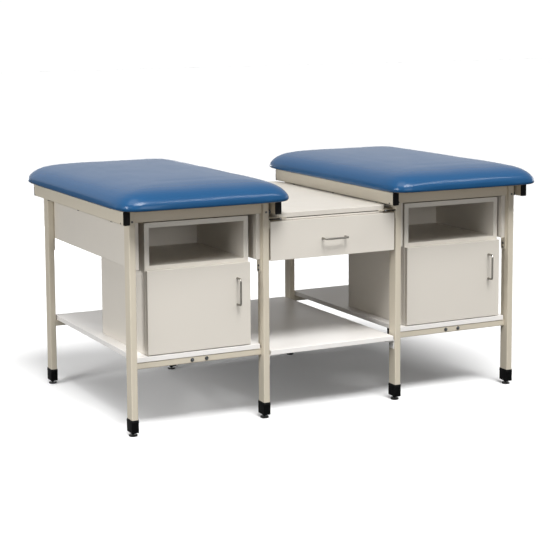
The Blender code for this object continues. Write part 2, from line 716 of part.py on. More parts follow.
# Drawer: front, box, pull and the slides on both sides
drawer_axis = make_axis("drawer_axis", Vector((0, LEG_FRONT, SLIDE_LEVEL)))
front_half = INNER_LEG_FACE - DRAWER_LEG_GAP
front_y = from_front(0, BOARD)
front_z = (DRAWER_FRONT_BOTTOM, DRAWER_FRONT_BOTTOM + DRAWER_FRONT_HEIGHT)
make_box("drawer_front", (-front_half, front_half), front_y, front_z, beige, drawer_axis)
box_half = inside - SLIDE_SPACE
wall = box_half - DRAWER_WALL
box_y = (front_y[1] + FIT_GAP, housing_y[1] - HOUSING_BOARD - DRAWER_BACK_GAP)
box_bottom = HOUSING_BOTTOM + DRAWER_BOX_RISE
box_z = (box_bottom, box_bottom + DRAWER_BOX_HEIGHT)
drawer_box = make_box("drawer_box", (-box_half, box_half), box_y, box_z, white, drawer_axis)
hollow_y = (box_y[0] + DRAWER_WALL, box_y[1] - DRAWER_WALL)
hollow_z = (box_z[0] + DRAWER_FLOOR, box_z[1] + CUT_OVERRUN)
cut_boxes(drawer_box, "drawer_hollow", [((-wall, wall), hollow_y, hollow_z)])
pull_place = Vector((0, front_y[0], HOUSING_BOTTOM + DRAWER_PULL_RISE))
make_pull("drawer_pull", pull_place, False, drawer_axis)
low = SLIDE_LEVEL - SLIDE_HEIGHT / 2
high = SLIDE_LEVEL + SLIDE_HEIGHT / 2
slide_y = (box_y[0] + SLIDE_END_INSET, box_y[1] - SLIDE_END_INSET)
channel_start = max(slide_y[0], housing_y[0])
for side, out in SIDES.items():
    face = out * (inside - FIT_GAP)
    web = face - out * SLIDE_WEB
    lip = face - out * SLIDE_LIP
    channel = (
        (face, low),
        (lip, low),
        (lip, low + SLIDE_WEB),
        (web, low + SLIDE_WEB),
        (web, high - SLIDE_WEB),
        (lip, high - SLIDE_WEB),
        (lip, high),
        (face, high),
    )
    make_profile(f"{side}_slide_channel", channel, channel_start, slide_y[1] - channel_start, zinc)
    bar_x = span(web - out * SLIDE_PLAY, out * (box_half + FIT_GAP))
    bar_z = (low + SLIDE_WEB + SLIDE_PLAY, high - SLIDE_WEB - SLIDE_PLAY)
    make_box(f"{side}_slide_bar", bar_x, slide_y, bar_z, zinc, drawer_axis)

# Cabinets: carcass with hinge arms, back, and a hinged door with its pull
door_bottom = CABINET_BOTTOM + BOARD - DOOR_BOTTOM_LAP
door_top = DRAWER_FRONT_BOTTOM - DOOR_TOP_GAP
for side in SIDES:
    left = station_middle(side) - STATION_WIDTH / 2 + CABINET_LEFT_INSET[side]
    right = station_middle(side) + STATION_WIDTH / 2 - CABINET_RIGHT_INSET[side]
    y = from_front(CABINET_FRONT, CABINET_FRONT + CABINET_DEPTH)
    carcass = make_box(f"{side}_cabinet", (left, right), y, (CABINET_BOTTOM, CABINET_TOP), beige)
    inner_x = (left + BOARD, right - BOARD)
    through_y = (y[0] - CUT_OVERRUN, y[1] + CUT_OVERRUN)
    closed_z = (CABINET_BOTTOM + BOARD, OPEN_BAY_FLOOR - BOARD)
    open_z = (OPEN_BAY_FLOOR, CABINET_TOP - BOARD)
    bays = [(inner_x, through_y, closed_z), (inner_x, through_y, open_z)]
    cut_boxes(carcass, f"{side}_cabinet_bays", bays)
    back_y = (y[1] + FIT_GAP, y[1] + FIT_GAP + BOARD)
    make_box(f"{side}_cabinet_back", (left, right), back_y, (CABINET_BOTTOM, CABINET_TOP), beige)

    door_x = (left + DOOR_REVEAL, right - DOOR_REVEAL)
    door_y = (y[0] - DOOR_GAP - DOOR_THICKNESS, y[0] - DOOR_GAP)
    door_z = (door_bottom, door_top)
    axis = make_axis(f"{side}_door_axis", Vector((door_x[0], door_y[1], (door_bottom + door_top) / 2)))
    door = make_box(f"{side}_door", door_x, door_y, door_z, beige, axis)
    pull_place = Vector((door_x[1] - DOOR_PULL_INSET, door_y[0], door_top - DOOR_PULL_DROP))
    make_pull(f"{side}_door_pull", pull_place, True, axis)

    cups = bmesh.new()
    arms = bmesh.new()
    inward = Vector((0, -1, 0))
    for level in (door_bottom + HINGE_END_INSET, door_top - HINGE_END_INSET):
        mouth = Vector((door_x[0] + HINGE_CUP_EDGE, door_y[1] + CUT_OVERRUN, level))
        add_turned(cups, mouth, inward, HINGE_CUP_RADIUS, HINGE_CUP_DEPTH + CUT_OVERRUN, HINGE_CUP_SIDES)
        arm_x = (inner_x[0] - SEAT_IN, inner_x[0] + HINGE_ARM_THICKNESS)
        tip = door_y[1] - HINGE_CUP_DEPTH + HINGE_ARM_GAP
        arm_z = (level - HINGE_ARM_HEIGHT / 2, level + HINGE_ARM_HEIGHT / 2)
        add_box(arms, arm_x, (tip, tip + HINGE_ARM_LENGTH), arm_z)
    combine(door, make_cutter(f"{side}_hinge_cups", cups), "DIFFERENCE")
    combine(carcass, make_cutter(f"{side}_hinge_arms", arms), "UNION")
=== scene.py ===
import math

import bpy
from mathutils import Euler, Matrix, Vector, noise


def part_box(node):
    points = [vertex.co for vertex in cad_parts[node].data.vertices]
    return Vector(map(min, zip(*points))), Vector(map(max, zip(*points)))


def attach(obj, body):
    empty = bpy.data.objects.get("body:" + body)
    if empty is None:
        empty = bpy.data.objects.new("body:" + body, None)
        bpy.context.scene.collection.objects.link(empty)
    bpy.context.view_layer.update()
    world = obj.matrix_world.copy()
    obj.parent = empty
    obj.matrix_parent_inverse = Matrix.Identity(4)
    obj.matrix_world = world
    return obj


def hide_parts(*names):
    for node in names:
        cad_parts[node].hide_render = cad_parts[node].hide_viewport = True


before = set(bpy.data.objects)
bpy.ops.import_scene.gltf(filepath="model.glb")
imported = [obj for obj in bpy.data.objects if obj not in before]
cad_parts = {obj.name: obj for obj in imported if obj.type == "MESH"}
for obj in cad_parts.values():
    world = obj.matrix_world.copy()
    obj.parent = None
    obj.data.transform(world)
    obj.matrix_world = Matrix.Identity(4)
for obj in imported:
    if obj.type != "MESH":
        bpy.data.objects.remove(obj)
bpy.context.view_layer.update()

# Camera: stands to the left of the front at eye height and looks down a little on the table through a long
# lens. A small vertical shift keeps the legs close to upright, as in the photograph.
sensor_width = 36
focal_pixels, picture_pixels = 1539.07, 550
tilt_down, heading, roll = 0.12257, -0.47178, -0.00564
camera_data = bpy.data.cameras.new("camera")
camera_data.sensor_width = sensor_width
camera_data.lens = sensor_width * focal_pixels / picture_pixels
camera_data.shift_y = -0.15
camera_data.clip_end = 60
camera = bpy.data.objects.new("camera", camera_data)
bpy.context.scene.collection.objects.link(camera)
camera.location = (-2.92725, -5.70627, 1.61123)
aim = Euler((math.pi / 2 - tilt_down, 0, heading)).to_matrix() @ Matrix.Rotation(roll, 3, "Z")
camera.rotation_euler = aim.to_euler()
bpy.context.scene.camera = camera
bpy.context.scene.view_settings.view_transform = "Standard"

# Studio: a pale seamless floor that keeps the table's soft shadow, a key sun from the front and a softer one
# overhead, a high strip and a high box that draw the streaks on the cushions, lower boxes for the front, the
# sides and the back, and a pale surround.


def node(tree, kind, inputs=(), **settings):
    """Node with its settings; an input is either a value or the socket that feeds it."""
    made = tree.nodes.new(kind)
    for key, value in settings.items():
        setattr(made, key, value)
    for key, value in dict(inputs).items():
        if isinstance(value, bpy.types.NodeSocket):
            tree.links.new(value, made.inputs[key])
        else:
            made.inputs[key].default_value = value
    return made


def maths(tree, operation, *values):
    """Result of a math node; a value is either a number or a socket."""
    return node(tree, "ShaderNodeMath", dict(enumerate(values)), operation=operation).outputs[0]


def lit_white(tree, seen, mirrored, lighting):
    """Strength for what the camera sees, for what a surface mirrors and for what lights the table."""
    path = node(tree, "ShaderNodeLightPath")
    to_camera = maths(tree, "MULTIPLY", path.outputs["Is Camera Ray"], seen)
    to_gloss = maths(tree, "MULTIPLY", path.outputs["Is Glossy Ray"], mirrored)
    return maths(tree, "MAXIMUM", maths(tree, "MAXIMUM", to_camera, to_gloss), lighting)


world = bpy.data.worlds.new("studio")
bpy.context.scene.world = world
world.use_nodes = True
surround = world.node_tree.nodes["Background"]
surround.inputs["Color"].default_value = (1, 1, 1, 1)
world.node_tree.links.new(lit_white(world.node_tree, 1.03, 0.7, 0.10), surround.inputs["Strength"])

bpy.ops.object.select_all(action="DESELECT")
bpy.ops.mesh.primitive_plane_add(size=60)
floor = bpy.context.object
floor.name = "floor"
floor_paint = bpy.data.materials.new("floor")
floor_paint.use_nodes = True
tree = floor_paint.node_tree
shader = tree.nodes["Principled BSDF"]
shader.inputs["Roughness"].default_value = 0.9
shader.inputs["Specular IOR Level"].default_value = 0.1
shader.inputs["Emission Color"].default_value = (1, 1, 1, 1)
tree.links.new(lit_white(tree, 0.98, 0.15, 0.15), shader.inputs["Base Color"])
tree.links.new(lit_white(tree, 0.04, 0.0, 0.0), shader.inputs["Emission Strength"])
floor.data.materials.append(floor_paint)

lamp_target = Vector((0, -0.3, 0.5))
for name, kind, energy, place, size, size_y in (
    ("key", "SUN", 2.4, (-0.2, -2.36, 4.0), 0.4, 0),
    ("overhead", "SUN", 0.8, (-1.1, -0.4, 4.0), 0.6, 0),
    ("high_strip", "AREA", 74, (2.1, -3.1, 4.4), 3.4, 0.25),
    ("high_box", "AREA", 48, (-1.5, -3.9, 4.9), 1.7, 0.8),
    ("front_box", "AREA", 42, (-0.3, -5.8, 1.4), 2.4, 1.6),
    ("left_box", "AREA", 118, (-4.7, -1.3, 2.0), 1.8, 1.2),
    ("right_box", "AREA", 26, (5.0, 1.0, 1.2), 2.0, 1.4),
    ("back_box", "AREA", 26, (0.6, 5.0, 0.5), 2.6, 0.5),
):
    lamp_data = bpy.data.lights.new(name, kind)
    lamp_data.energy = energy
    if kind == "SUN":
        lamp_data.angle = size
    else:
        lamp_data.shape = "RECTANGLE"
        lamp_data.size = size
        lamp_data.size_y = size_y
    lamp = bpy.data.objects.new(name, lamp_data)
    bpy.context.scene.collection.objects.link(lamp)
    lamp.visible_camera = False
    lamp.location = place
    lamp.rotation_euler = (Vector(place) - lamp_target).to_track_quat("Z", "Y").to_euler()

# Steel frame: legs, rails, stretchers and worktop supports of welded mild-steel tube and angle,
# finished in a warm beige powder coat that has a fine orange-peel texture and is rubbed at the edges.


def linear(level):
    return level / 12.92 if level <= 0.04045 else ((level + 0.055) / 1.055) ** 2.4


def colour(red, green, blue):
    """Linear colour of an 8-bit one."""
    return tuple(linear(part / 255) for part in (red, green, blue)) + (1.0,)


def start_group(name, inputs, outputs):
    """Empty shader group with its sockets; returns the group, its input node and its output node."""
    group = bpy.data.node_groups.new(name, "ShaderNodeTree")
    for label, kind, value in inputs:
        socket = group.interface.new_socket(label, in_out="INPUT", socket_type=kind)
        if value is not None:
            socket.default_value = value
    for label, kind in outputs:
        group.interface.new_socket(label, in_out="OUTPUT", socket_type=kind)
    return group, group.nodes.new("NodeGroupInput"), group.nodes.new("NodeGroupOutput")


def fill(tree, group, inputs):
    return node(tree, "ShaderNodeGroup", inputs, node_tree=group)


# Slow drift of a colour between a darker and a lighter tone, with finer flecks over it
tone, entry, leave = start_group(
    "tone_drift",
    [("Vector", "NodeSocketVector", None), ("Colour", "NodeSocketColor", (0.5, 0.5, 0.5, 1)),
     ("Patch Scale", "NodeSocketFloat", 4.0), ("Fleck Scale", "NodeSocketFloat", 400.0),
     ("Drift", "NodeSocketFloat", 0.05), ("Fleck", "NodeSocketFloat", 0.03)],
    [("Colour", "NodeSocketColor")],
)
patches = node(tone, "ShaderNodeTexNoise", {"Vector": entry.outputs["Vector"],
                                            "Scale": entry.outputs["Patch Scale"],
                                            "Detail": 3.0, "Roughness": 0.55})
flecks = node(tone, "ShaderNodeTexNoise", {"Vector": entry.outputs["Vector"],
                                           "Scale": entry.outputs["Fleck Scale"], "Detail": 1.0})
patch_part = maths(tone, "SUBTRACT", patches.outputs["Fac"], 0.5)
patch_part = maths(tone, "MULTIPLY", patch_part, entry.outputs["Drift"])
fleck_part = maths(tone, "SUBTRACT", flecks.outputs["Fac"], 0.5)
fleck_part = maths(tone, "MULTIPLY", fleck_part, entry.outputs["Fleck"])
brightness = maths(tone, "ADD", maths(tone, "ADD", patch_part, fleck_part), 1.0)
scaled = node(tone, "ShaderNodeVectorMath", {0: entry.outputs["Colour"], "Scale": brightness},
              operation="SCALE")
tone.links.new(scaled.outputs[0], leave.inputs["Colour"])

# Edges that hands, shoes and cleaning have rubbed: a mask from the rounded normal against the true one
wear, entry, leave = start_group(
    "edge_wear",
    [("Vector", "NodeSocketVector", None), ("Width", "NodeSocketFloat", 0.002),
     ("Patchiness", "NodeSocketFloat", 30.0)],
    [("Mask", "NodeSocketFloat")],
)
rounded = node(wear, "ShaderNodeBevel", {"Radius": entry.outputs["Width"]}, samples=4)
facing = node(wear, "ShaderNodeNewGeometry")
likeness = node(wear, "ShaderNodeVectorMath", {0: rounded.outputs[0], 1: facing.outputs["Normal"]},
                operation="DOT_PRODUCT")
turned = node(wear, "ShaderNodeMapRange", {"Value": likeness.outputs["Value"], "From Min": 0.97,
                                           "From Max": 0.75})
broken = node(wear, "ShaderNodeTexNoise", {"Vector": entry.outputs["Vector"],
                                           "Scale": entry.outputs["Patchiness"], "Detail": 4.0})
broken = node(wear, "ShaderNodeMapRange", {"Value": broken.outputs["Fac"], "From Min": 0.45, "From Max": 0.65})
masked = maths(wear, "MULTIPLY", turned.outputs[0], broken.outputs[0])
wear.links.new(masked, leave.inputs["Mask"])

# Fine surface relief and the roughness that goes with it
relief, entry, leave = start_group(
    "surface_relief",
    [("Vector", "NodeSocketVector", None), ("Scale", "NodeSocketFloat", 900.0),
     ("Low", "NodeSocketFloat", 0.38), ("High", "NodeSocketFloat", 0.48)],
    [("Height", "NodeSocketFloat"), ("Roughness", "NodeSocketFloat")],
)
fine = node(relief, "ShaderNodeTexNoise", {"Vector": entry.outputs["Vector"], "Scale": entry.outputs["Scale"],
                                           "Detail": 2.0, "Roughness": 0.5})
smears = node(relief, "ShaderNodeTexNoise", {"Vector": entry.outputs["Vector"], "Scale": 9.0, "Detail": 5.0,
                                             "Roughness": 0.62, "Distortion": 0.6})
rough = node(relief, "ShaderNodeMapRange", {"Value": smears.outputs["Fac"], "From Min": 0.35,
                                            "From Max": 0.65, "To Min": entry.outputs["Low"],
                                            "To Max": entry.outputs["High"]})
relief.links.new(fine.outputs["Fac"], leave.inputs["Height"])
relief.links.new(rough.outputs[0], leave.inputs["Roughness"])


def start_material(name):
    material = bpy.data.materials.new(name)
    material.use_nodes = True
    tree = material.node_tree
    place = node(tree, "ShaderNodeTexCoord").outputs["Object"]
    return material, tree, tree.nodes["Principled BSDF"], place


def blend(tree, factor, first, second):
    """Colour between two others, each a colour or a socket."""
    return node(tree, "ShaderNodeMix", {"Factor": factor, 6: first, 7: second}, data_type="RGBA").outputs[2]


def connect(tree, shader, tint, roughness, bump):
    """Leads a finish's colour, roughness and bump into its shader."""
    tree.links.new(tint, shader.inputs["Base Color"])
    tree.links.new(roughness, shader.inputs["Roughness"])
    tree.links.new(bump.outputs[0], shader.inputs["Normal"])


def coated(name, base, worn, drift, fleck_scale, fleck, relief_scale, depth, low, high, metallic=0.0,
           stretch=None):
    """Finish with drifting tone, rubbed edges and fine relief; low and high are its limits of roughness."""
    material, tree, shader, place = start_material(name)
    if stretch:
        place = node(tree, "ShaderNodeMapping", {"Vector": place, "Scale": stretch}).outputs[0]
    body = fill(tree, tone, {"Vector": place, "Colour": base, "Patch Scale": 5.0, "Fleck Scale": fleck_scale,
                             "Drift": drift, "Fleck": fleck})
    rubbed = fill(tree, wear, {"Vector": place, "Width": 0.0016, "Patchiness": 45.0})
    mixed = blend(tree, rubbed.outputs["Mask"], body.outputs["Colour"], worn)
    grain = fill(tree, relief, {"Vector": place, "Scale": relief_scale, "Low": low, "High": high})
    bump = node(tree, "ShaderNodeBump", {"Height": grain.outputs["Height"], "Distance": depth, "Strength": 0.6})
    connect(tree, shader, mixed, grain.outputs["Roughness"], bump)
    shader.inputs["Metallic"].default_value = metallic
    return material


def paint(material, *names):
    """Gives CAD nodes a finish."""
    for name in names:
        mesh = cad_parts[name].data
        mesh.materials.clear()
        mesh.materials.append(material)


powder_coat = coated("powder_coat", colour(205, 196, 178), colour(218, 211, 197), drift=0.06, fleck_scale=700,
                     fleck=0.05, relief_scale=850, depth=0.00012, low=0.36, high=0.46)
steel_nodes = [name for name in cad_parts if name.endswith(("_leg", "_rail", "_stretcher", "_support"))]
paint(powder_coat, *steel_nodes)

# Boards: melamine-faced particle board. The doors, drawer, aprons and cabinets are beige, the worktop is a
# paler beige, and the shelves and the drawer box are white.
beige_board = coated("beige_board", colour(217, 211, 201), colour(232, 228, 220), drift=0.03, fleck_scale=1300,
                     fleck=0.045, relief_scale=1600, depth=0.00006, low=0.40, high=0.50)
pale_board = coated("pale_board", colour(214, 208, 198), colour(230, 226, 218), drift=0.03, fleck_scale=1100,
                    fleck=0.035, relief_scale=1500, depth=0.00005, low=0.34, high=0.44)
white_board = coated("white_board", colour(238, 235, 231), colour(243, 241, 237), drift=0.025, fleck_scale=1100,
                     fleck=0.03, relief_scale=1500, depth=0.00005, low=0.34, high=0.44)
beige_nodes = [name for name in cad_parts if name.endswith(("_apron", "_door", "_cabinet", "_back"))]
paint(beige_board, "drawer_front", "drawer_housing", *beige_nodes)
paint(pale_board, "worktop")
paint(white_board, "centre_shelf", "left_shelf", "right_shelf", "drawer_box")

# Seat boards: birch plywood sheets, whose layers show at the edge and whose grain runs from front to rear.
plywood, tree, shader, place = start_material("plywood")
along = node(tree, "ShaderNodeMapping", {"Vector": place, "Scale": (1.0, 0.06, 1.0)})
grain = node(tree, "ShaderNodeTexNoise", {"Vector": along.outputs[0], "Scale": 160.0, "Detail": 5.0,
                                          "Roughness": 0.6})
layers = node(tree, "ShaderNodeTexWave", {"Vector": place, "Scale": 130.0, "Distortion": 0.4, "Detail": 1.0},
              wave_type="BANDS", bands_direction="Z")
pale = blend(tree, grain.outputs["Fac"], colour(205, 178, 137), colour(176, 144, 102))
facing = node(tree, "ShaderNodeNewGeometry")
upright = node(tree, "ShaderNodeSeparateXYZ", {0: facing.outputs["Normal"]})
edge = maths(tree, "ABSOLUTE", upright.outputs["Z"])
edge = node(tree, "ShaderNodeMapRange", {"Value": edge, "From Min": 0.6, "From Max": 0.3})
dark = maths(tree, "MULTIPLY", edge.outputs[0], layers.outputs["Fac"])
shown = blend(tree, dark, pale, colour(122, 92, 60))
bump = node(tree, "ShaderNodeBump", {"Height": grain.outputs["Fac"], "Distance": 0.0002, "Strength": 0.5})
rough = node(tree, "ShaderNodeMapRange", {"Value": grain.outputs["Fac"], "To Min": 0.6, "To Max": 0.75})
connect(tree, shader, shown, rough.outputs[0], bump)
paint(plywood, "left_seat_board", "right_seat_board")

# Pulls: bent steel wire, plated in satin nickel that is brushed along the wire: upright on the doors,
# level on the drawer.
for way, stretch, pulls in (
    ("upright", (30, 30, 1), ("left_door_pull", "right_door_pull")),
    ("level", (1, 30, 30), ("drawer_pull",)),
):
    brushed = coated(f"satin_nickel_{way}", colour(146, 143, 136), colour(184, 181, 175), drift=0.10,
                     fleck_scale=40, fleck=0.12, relief_scale=60, depth=0.00004, low=0.32, high=0.42,
                     metallic=1.0, stretch=stretch)
    paint(brushed, *pulls)

# Drawer slides: rolled steel channels with a bar that runs in them, zinc plated.
zinc = coated("zinc_plate", colour(176, 178, 180), colour(205, 206, 208), drift=0.20, fleck_scale=120,
              fleck=0.18, relief_scale=260, depth=0.00006, low=0.30, high=0.46, metallic=1.0)
slide_nodes = [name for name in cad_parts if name.endswith(("_slide_channel", "_slide_bar"))]
paint(zinc, *slide_nodes)

# Levelling glides: a moulded black foot on a blackened steel screw with a lock nut.
foot_height = 0.0071
black_plastic = coated("black_plastic", colour(6, 6, 7), colour(20, 20, 21), drift=0.25, fleck_scale=900,
                       fleck=0.2, relief_scale=1100, depth=0.0001, low=0.42, high=0.56)
black_plastic.node_tree.nodes["Principled BSDF"].inputs["Specular IOR Level"].default_value = 0.14
glide_finish, tree, shader, place = start_material("glide")
height = node(tree, "ShaderNodeSeparateXYZ", {0: place})
is_metal = maths(tree, "GREATER_THAN", height.outputs["Z"], foot_height)
grime = node(tree, "ShaderNodeTexNoise", {"Vector": place, "Scale": 260.0, "Detail": 4.0})
foot = blend(tree, grime.outputs["Fac"], colour(18, 18, 19), colour(40, 39, 38))
screw = blend(tree, grime.outputs["Fac"], colour(30, 30, 31), colour(56, 56, 56))
both = blend(tree, is_metal, foot, screw)
threads = node(tree, "ShaderNodeTexWave", {"Vector": place, "Scale": 105.0}, wave_type="BANDS",
               bands_direction="Z")
rough = node(tree, "ShaderNodeMapRange", {"Value": grime.outputs["Fac"], "To Min": 0.32, "To Max": 0.55})
bump = node(tree, "ShaderNodeBump", {"Height": threads.outputs["Fac"], "Distance": 0.0003, "Strength": 0.5})
connect(tree, shader, both, rough.outputs[0], bump)
tree.links.new(is_metal, shader.inputs["Metallic"])
glide_nodes = [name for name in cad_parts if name.endswith("_glide")]
paint(glide_finish, *glide_nodes)

# Boots: black moulded sleeves pushed over the foot of each leg, with a rim that grips the tube and a raised
# band under it. The open middle takes the levelling glide.


def block(name, low, high):
    """Cube primitive at its size and place, with its object at the origin."""
    bpy.ops.object.select_all(action="DESELECT")
    low, high = Vector(low), Vector(high)
    bpy.ops.mesh.primitive_cube_add(size=1, location=(low + high) / 2, scale=high - low)
    return named(name)


def turned_blank(name, sides, radius, low, high):
    """Upright cylinder primitive on the Z axis, with its object at the origin."""
    bpy.ops.object.select_all(action="DESELECT")
    bpy.ops.mesh.primitive_cylinder_add(
        vertices=sides, radius=radius, depth=high - low, location=(0, 0, (low + high) / 2)
    )
    return named(name)


def named(name):
    bpy.ops.object.transform_apply(location=True, rotation=True, scale=True)
    piece = bpy.context.object
    piece.name = name
    piece.data.name = name
    return piece


def pick_faces(piece, wanted):
    """In edit mode, selects the faces that pass a test on their middle and normal."""
    bpy.ops.object.mode_set(mode="EDIT")
    bpy.context.tool_settings.mesh_select_mode = (False, False, True)
    bpy.ops.mesh.select_all(action="DESELECT")
    bpy.ops.object.mode_set(mode="OBJECT")
    for face in piece.data.polygons:
        face.select = wanted(face.center, face.normal)
    bpy.ops.object.mode_set(mode="EDIT")


def pick_edges(piece, wanted):
    """In edit mode, selects the edges that pass a test on their two ends."""
    bpy.ops.object.mode_set(mode="EDIT")
    bpy.context.tool_settings.mesh_select_mode = (False, True, False)
    bpy.ops.mesh.select_all(action="DESELECT")
    bpy.ops.object.mode_set(mode="OBJECT")
    points = piece.data.vertices
    for edge in piece.data.edges:
        edge.select = wanted(points[edge.vertices[0]].co, points[edge.vertices[1]].co)
    bpy.ops.object.mode_set(mode="EDIT")


def runs_along(axis):
    return lambda a, b: abs(a[axis] - b[axis]) > 0.99 * (a - b).length


def push(*move):
    """Extrudes the selected faces by a move."""
    bpy.ops.mesh.extrude_region_move(TRANSFORM_OT_translate={"value": move})


def soften(piece, width, steps, angle=40):
    """Rounds the edges that are sharper than an angle and shades the piece smooth between them."""
    bpy.ops.object.mode_set(mode="OBJECT")
    edges = piece.modifiers.new("edges", "BEVEL")
    edges.width = width
    edges.segments = steps
    edges.limit_method = "ANGLE"
    edges.angle_limit = math.radians(angle)
    bpy.context.view_layer.objects.active = piece
    bpy.ops.object.modifier_apply(modifier=edges.name)
    bpy.ops.object.shade_smooth_by_angle(angle=math.radians(35))


def fit(piece, body, material):
    """Gives a finished piece its finish and the body that carries it."""
    piece.data.materials.clear()
    piece.data.materials.append(material)
    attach(piece, body)


def copy_mesh(master, name, place):
    """Copy of a piece with its own mesh, moved by a matrix in its mesh."""
    piece = bpy.data.objects.new(name, master.data.copy())
    piece.data.name = name
    piece.data.transform(place)
    bpy.context.scene.collection.objects.link(piece)
    return piece


def joined(*pieces):
    """Joins pieces into the first of them."""
    bpy.ops.object.select_all(action="DESELECT")
    for piece in pieces:
        piece.select_set(True)
    bpy.context.view_layer.objects.active = pieces[0]
    bpy.ops.object.join()
    return pieces[0]


def scatter(master, name, places, body, material):
    """One piece of several small fittings: a copy of the master at each place, facing its direction."""
    copies = []
    for place, outward in places:
        turn = Vector((0, 0, 1)).rotation_difference(Vector(outward)).to_matrix().to_4x4()
        copies.append(copy_mesh(master, name, Matrix.Translation(place) @ turn))
    piece = joined(*copies)
    piece.name = name
    fit(piece, body, material)


legs = [name[:-4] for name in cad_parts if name.endswith("_leg")]
leg_middles = {}
for name in legs:
    low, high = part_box(f"{name}_glide")
    leg_middles[name] = (low + high) / 2
boot_x, boot_y = 0.0148, 0.0275
boot_foot, boot_top = 0.0165, 0.0655
raised_low, raised_high = 0.0545, 0.0600
rim_depth, sleeve_depth = 0.0018, 0.0465
boot = block("boot", (-boot_x, -boot_y, boot_foot), (boot_x, boot_y, boot_top))
pick_edges(boot, runs_along(2))
bpy.ops.mesh.bevel(offset=0.0048, segments=4)
for level in (raised_low, raised_high):
    bpy.ops.mesh.select_all(action="SELECT")
    bpy.ops.mesh.bisect(plane_co=(0, 0, level), plane_no=(0, 0, 1))
pick_faces(boot, lambda middle, normal: raised_low < middle.z < raised_high and abs(normal.z) < 0.1)
bpy.ops.mesh.extrude_region_shrink_fatten(TRANSFORM_OT_shrink_fatten={"value": 0.0007})
pick_faces(boot, lambda middle, normal: normal.z > 0.9 and middle.z > boot_top - 0.0005)
bpy.ops.mesh.inset(thickness=0.0020)
push(0, 0, -rim_depth)
push(0, 0, 0)
bpy.ops.transform.resize(value=(1.117, 1.059, 1), center_override=(0, 0, 0))
push(0, 0, -sleeve_depth)
bpy.ops.mesh.delete(type="FACE")
pick_faces(boot, lambda middle, normal: normal.z < -0.9 and middle.z < boot_foot + 0.0001)
bpy.ops.mesh.inset(thickness=0.0006)
bpy.ops.mesh.delete(type="FACE")
bpy.ops.mesh.select_mode(type="EDGE")
bpy.ops.mesh.select_non_manifold()
bpy.ops.mesh.bridge_edge_loops()
bpy.ops.mesh.select_all(action="SELECT")
bpy.ops.mesh.normals_make_consistent(inside=False)
soften(boot, width=0.0005, steps=2)
for name, middle in leg_middles.items():
    place = Matrix.Translation((middle.x, middle.y, 0))
    fit(copy_mesh(boot, f"{name}_boot", place), "frame", black_plastic)
bpy.data.objects.remove(boot)

# End plugs: black moulded caps driven into the open ends of the side rails, with a lip that covers the
# tube's cut edge and a shallow dished face.
rail_half = 0.0127


def rail_side(side, place):
    """Which way a side rail lies from its legs: 1 to the right, -1 to the left."""
    return 1 if (side == "right") == (place == "outer") else -1


def tube_middle(low, high, toward):
    """Middle of a side rail's tube; its bosses reach from the tube to the legs."""
    return (high.x - rail_half) if toward > 0 else (low.x + rail_half)


plug = block("plug", (-0.0130, -0.0032, -0.0257), (0.0130, 0.0004, 0.0257))
pick_edges(plug, runs_along(1))
bpy.ops.mesh.bevel(offset=0.0034, segments=4)
pick_faces(plug, lambda middle, normal: normal.y < -0.9)
bpy.ops.mesh.inset(thickness=0.0030)
push(0, 0.0008, 0)
bpy.ops.transform.resize(value=(0.9, 1, 0.95), center_override=(0, -0.0024, 0))
soften(plug, width=0.0007, steps=3, angle=30)
for side in ("left", "right"):
    for place in ("outer", "inner"):
        low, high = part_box(f"{side}_{place}_side_rail")
        x = tube_middle(low, high, rail_side(side, place))
        z = (low.z + high.z) / 2
        for end, y, angle in (("front", low.y, 0), ("rear", high.y, math.pi)):
            seat = Matrix.Translation((x, y, z)) @ Matrix.Rotation(angle, 4, "Z")
            fit(copy_mesh(plug, f"{side}_{place}_{end}_plug", seat), "frame", black_plastic)
bpy.data.objects.remove(plug)

# Fixings of the frame: dull plated socket screws with domed heads, hexagon bolts on washers at the
# stretchers and under the seats, spacers with nuts that hold the side rails off the legs, and small zinc
# screws under the middle shelf and the worktop.
dull_steel = coated("dull_steel", colour(98, 101, 103), colour(138, 140, 141), drift=0.20, fleck_scale=120,
                    fleck=0.18, relief_scale=260, depth=0.00006, low=0.32, high=0.48, metallic=1.0)
socket_screw = turned_blank("socket_screw", sides=18, radius=0.0042, low=0, high=0.0026)
pick_faces(socket_screw, lambda middle, normal: normal.z > 0.9)
bpy.ops.mesh.bevel(offset=0.0012, segments=3, affect="EDGES")
pick_faces(socket_screw, lambda middle, normal: normal.z > 0.9 and middle.z > 0.0025 and abs(middle.x) < 0.001)
bpy.ops.mesh.inset(thickness=0.0010)
push(0, 0, -0.0014)
soften(socket_screw, width=0.0001, steps=1, angle=60)
small_screw = copy_mesh(socket_screw, "small_screw", Matrix.Diagonal((0.72, 0.72, 0.6, 1)))

hex_bolt = turned_blank("hex_bolt", sides=6, radius=0.0058, low=0.0011, high=0.0050)
pick_faces(hex_bolt, lambda middle, normal: normal.z > 0.9)
bpy.ops.mesh.inset(thickness=0.0009)
push(0, 0, 0.0005)
bpy.ops.mesh.inset(thickness=0.0012, depth=-0.0003)
bpy.ops.object.mode_set(mode="OBJECT")
washer = turned_blank("washer", sides=24, radius=0.0076, low=0, high=0.0011)
pick_faces(washer, lambda middle, normal: normal.z > 0.9)
bpy.ops.mesh.inset(thickness=0.0012, depth=-0.0002)
bpy.ops.object.mode_set(mode="OBJECT")
soften(joined(hex_bolt, washer), width=0.0002, steps=1, angle=50)

